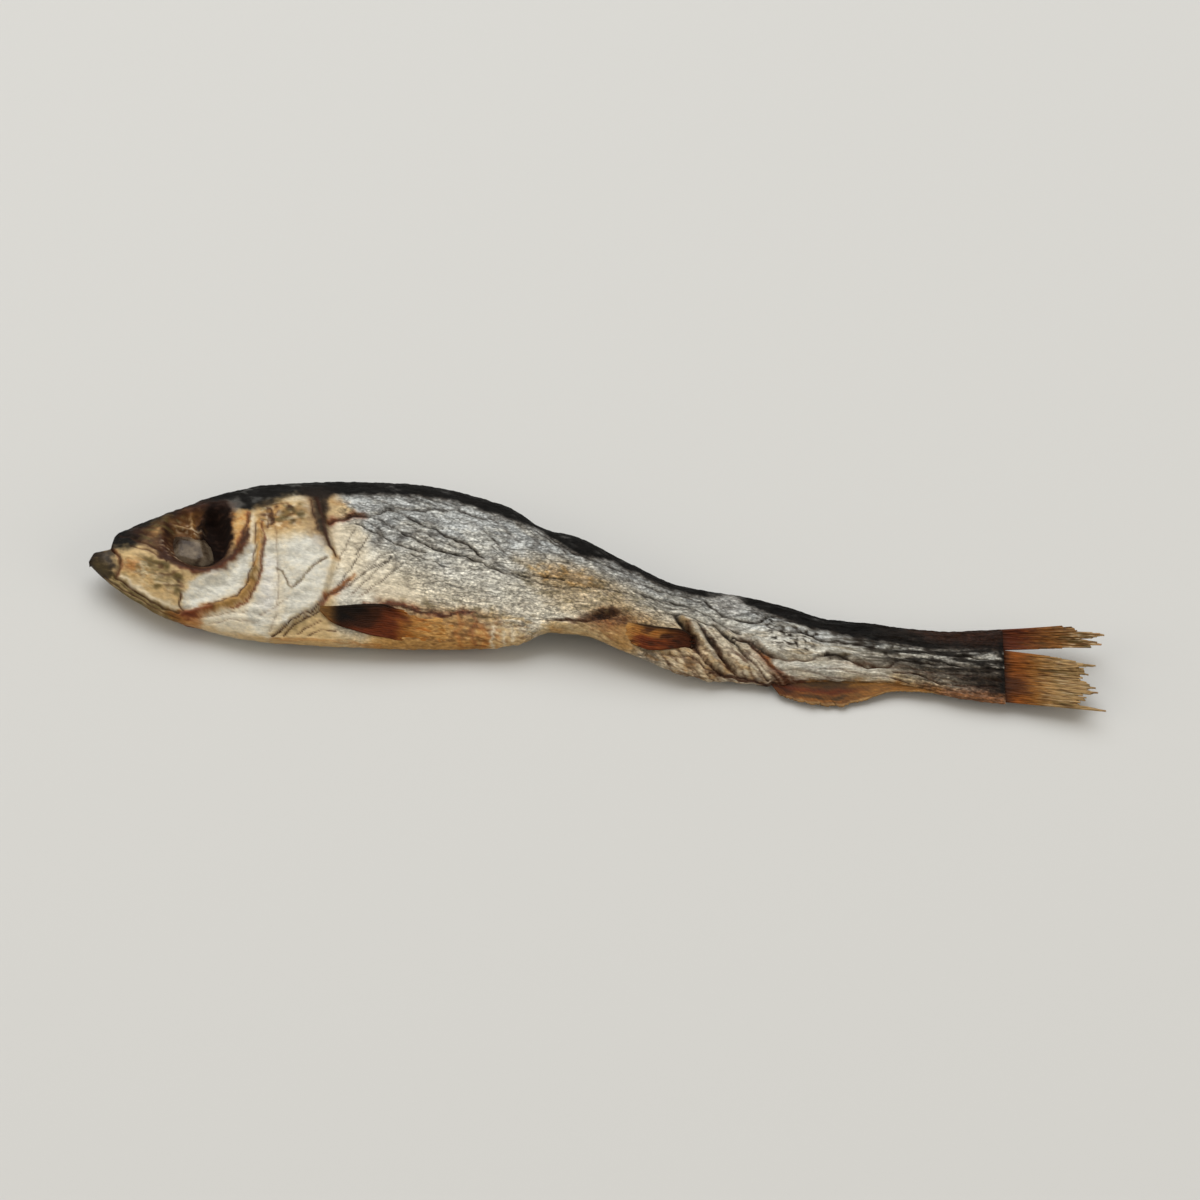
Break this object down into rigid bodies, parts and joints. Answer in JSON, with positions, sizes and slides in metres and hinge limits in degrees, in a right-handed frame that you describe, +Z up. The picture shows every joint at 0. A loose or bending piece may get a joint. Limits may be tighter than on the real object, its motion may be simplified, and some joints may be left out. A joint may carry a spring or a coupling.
{
  "type": "dried herring",
  "caption": "Whole small dried herring lying on its flank: wrinkled silver skin, dark back, sunken eye, gill cover, flattened fins and a frayed forked tail fin.",
  "frame": {"origin": "on the table, under the middle of the fish's outline seen from above (bounding box bottom centre)", "axes": "+X from the lower jaw towards the tail fin, +Y from the belly towards the back, +Z up off the table through the left flank; the fish lies on its right flank"},
  "size_m": [0.1316, 0.0262, 0.0087],
  "materials": {
    "skin": "satin"
  },
  "bodies": {
    "root": {"herring": "skin"}
  },
  "joints": []
}
